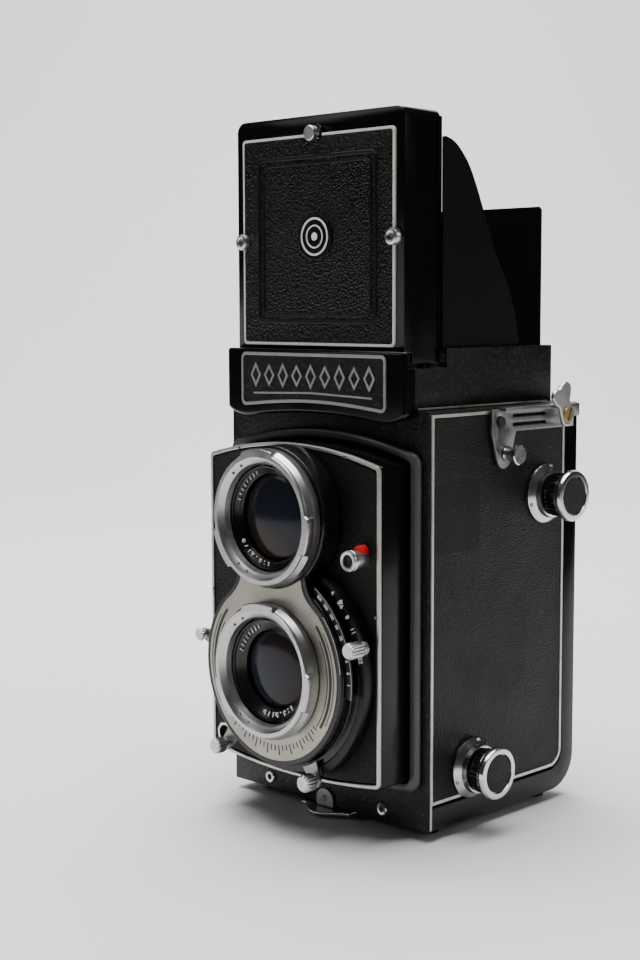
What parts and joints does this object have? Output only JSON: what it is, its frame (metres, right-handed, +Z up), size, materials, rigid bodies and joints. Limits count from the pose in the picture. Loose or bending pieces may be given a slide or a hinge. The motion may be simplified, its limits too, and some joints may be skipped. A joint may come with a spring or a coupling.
{
  "type": "twin lens reflex camera",
  "caption": "Twin lens reflex roll-film camera with a raised waist-level hood, a sliding front standard, knobs on both sides and a hinged back.",
  "frame": {"origin": "centre of the camera's outline seen from above, on the plane that the feet stand on", "axes": "+Z up, the lenses look along -Y, +X to the viewer's left"},
  "size_m": [0.099, 0.092, 0.1958],
  "materials": {
    "black_leather": "fine-grained black leatherette",
    "black_enamel": "gloss black enamel with worn edges",
    "wrinkle_paint": "black wrinkle paint",
    "grey_satin": "satin dark grey",
    "chrome": "satin chrome",
    "satin_nickel": "satin nickel",
    "mirror_glass": "front-surface mirror",
    "black_plastic": "matt black",
    "black_metal": "matt black anodised",
    "lens_glass": "coated optical glass"
  },
  "bodies": {
    "body": {"body_casing": "black_leather", "front_ledge": "grey_satin", "hood_base": "wrinkle_paint", "name_plate": "black_enamel", "focusing_screen": "lens_glass", "reflex_mirror": "mirror_glass", "film_gate": "black_metal", "roller_upper": "chrome", "roller_lower": "chrome", "side_leather_right": "black_leather", "side_leather_left": "black_leather", "accessory_shoe": "satin_nickel", "strap_peg_right": "chrome", "strap_peg_left": "chrome", "knob_flange_upper": "chrome", "knob_flange_lower": "chrome"},
    "standard": {"front_standard": "black_enamel", "standard_leather": "black_leather", "shutter_housing": "black_metal", "shutter_faceplate": "satin_nickel", "bayonet_ring_view": "chrome", "bayonet_ring_take": "chrome", "lens_barrel_view": "black_metal", "lens_barrel_take": "black_metal", "lens_glass_view": "lens_glass", "lens_glass_take": "lens_glass", "shutter_blades": "black_metal", "flash_socket": "chrome", "release_socket": "chrome"},
    "speed": {"speed_lever": "chrome"},
    "sync": {"sync_lever": "chrome"},
    "aperture": {"aperture_lever": "chrome"},
    "release": {"release_lever": "chrome"},
    "pull_upper": {"spool_knob_upper": "chrome"},
    "pull_lower": {"spool_knob_lower": "chrome"},
    "take_up": {"take_up_spool": "black_plastic"},
    "supply": {"supply_spool": "black_plastic"},
    "advance": {"advance_knob": "chrome"},
    "focus": {"focus_knob": "chrome"},
    "counter": {"counter_dial": "black_metal"},
    "back": {"back_door": "black_enamel", "back_leather": "black_leather", "pressure_plate": "black_metal", "foot_front_left": "black_plastic", "foot_front_right": "black_plastic", "foot_rear_left": "black_plastic", "foot_rear_right": "black_plastic", "tripod_socket": "chrome"},
    "latch": {"back_latch": "chrome"},
    "pawl": {"shoe_pawl": "satin_nickel"},
    "lid": {"hood_lid": "black_enamel", "lid_leather": "black_leather", "lid_hinge_pin": "chrome"},
    "peg": {"lid_peg": "chrome"},
    "finder": {"finder_door": "black_leather"},
    "loupe": {"loupe_frame": "chrome", "loupe_lens": "lens_glass"},
    "flap_right": {"flap_right": "black_enamel"},
    "flap_left": {"flap_left": "black_enamel"},
    "flap_back": {"flap_back": "black_enamel"}
  },
  "joints": [
    {"name": "standard_slide", "type": "slide", "parent": "body", "child": "standard", "axis": [0, -1, 0], "range_m": [0, 0.0068]},
    {"name": "focus_turn", "type": "hinge", "parent": "body", "child": "focus", "pos_m": [-0.042, 0.0038, 0.055], "axis": [-1, 0, 0], "range_deg": [0, 270]},
    {"name": "advance_turn", "type": "hinge", "parent": "body", "child": "advance", "pos_m": [-0.042, 0.029, 0.0911], "axis": [-1, 0, 0], "continuous": true},
    {"name": "take_up_turn", "type": "hinge", "parent": "body", "child": "take_up", "pos_m": [0, 0.029, 0.0911], "axis": [-1, 0, 0], "continuous": true},
    {"name": "counter_turn", "type": "hinge", "parent": "body", "child": "counter", "pos_m": [-0.039, 0.0118, 0.105], "axis": [-1, 0, 0], "continuous": true},
    {"name": "supply_turn", "type": "hinge", "parent": "body", "child": "supply", "pos_m": [0, -0.0026, 0.0179], "axis": [-1, 0, 0], "continuous": true},
    {"name": "upper_spool_pull", "type": "slide", "parent": "body", "child": "pull_upper", "axis": [1, 0, 0], "range_m": [0, 0.006], "stiffness_N_per_m": 200},
    {"name": "lower_spool_pull", "type": "slide", "parent": "body", "child": "pull_lower", "axis": [1, 0, 0], "range_m": [0, 0.006], "stiffness_N_per_m": 200},
    {"name": "back_open", "type": "hinge", "parent": "body", "child": "back", "pos_m": [0, 0.0438, 0.1155], "axis": [1, 0, 0], "range_deg": [0, 110]},
    {"name": "latch_open", "type": "hinge", "parent": "back", "child": "latch", "pos_m": [0, 0.0012, 0.00165], "axis": [1, 0, 0], "range_deg": [0, 85]},
    {"name": "shoe_pawl_turn", "type": "hinge", "parent": "body", "child": "pawl", "pos_m": [0.044, 0.0321, 0.1133], "axis": [1, 0, 0], "range_deg": [0, 60]},
    {"name": "lid_fold", "type": "hinge", "parent": "body", "child": "lid", "pos_m": [0, -0.0126, 0.1371], "axis": [-1, 0, 0], "range_deg": [0, 90]},
    {"name": "back_flap_fold", "type": "hinge", "parent": "body", "child": "flap_back", "pos_m": [0, 0.037, 0.12995], "axis": [1, 0, 0], "range_deg": [0, 90]},
    {"name": "right_flap_fold", "type": "hinge", "parent": "body", "child": "flap_right", "pos_m": [0.0326, 0.0068, 0.1319], "axis": [0, -1, 0], "range_deg": [0, 90]},
    {"name": "left_flap_fold", "type": "hinge", "parent": "body", "child": "flap_left", "pos_m": [-0.0326, 0.0068, 0.1309], "axis": [0, 1, 0], "range_deg": [0, 90]},
    {"name": "finder_open", "type": "hinge", "parent": "lid", "child": "finder", "pos_m": [0, -0.0223, 0.1839], "axis": [-1, 0, 0], "range_deg": [-85, 0]},
    {"name": "loupe_swing", "type": "hinge", "parent": "finder", "child": "loupe", "pos_m": [0, -0.0212, 0.1649], "axis": [1, 0, 0], "range_deg": [-90, 0]},
    {"name": "lid_peg_press", "type": "slide", "parent": "lid", "child": "peg", "axis": [0, 1, 0], "range_m": [0, 0.001], "stiffness_N_per_m": 300},
    {"name": "speed_set", "type": "hinge", "parent": "standard", "child": "speed", "pos_m": [0, -0.0384, 0.04525], "axis": [0, -1, 0], "range_deg": [-14, 30]},
    {"name": "sync_set", "type": "hinge", "parent": "standard", "child": "sync", "pos_m": [0, -0.0384, 0.04525], "axis": [0, -1, 0], "range_deg": [-12, 12]},
    {"name": "aperture_set", "type": "hinge", "parent": "standard", "child": "aperture", "pos_m": [0, -0.0384, 0.04525], "axis": [0, -1, 0], "range_deg": [-10, 26]},
    {"name": "release_press", "type": "hinge", "parent": "standard", "child": "release", "pos_m": [0, -0.0384, 0.04525], "axis": [0, -1, 0], "range_deg": [-16, 16], "stiffness_Nm_per_rad": 0.01}
  ],
  "couplings": [
    {"joint": "focus_turn", "follows": "standard_slide", "rad_per_m": 690},
    {"joint": "take_up_turn", "follows": "advance_turn", "ratio": 1},
    {"joint": "counter_turn", "follows": "advance_turn", "ratio": 0.083333},
    {"joint": "back_flap_fold", "follows": "lid_fold", "ratio": 1}
  ]
}
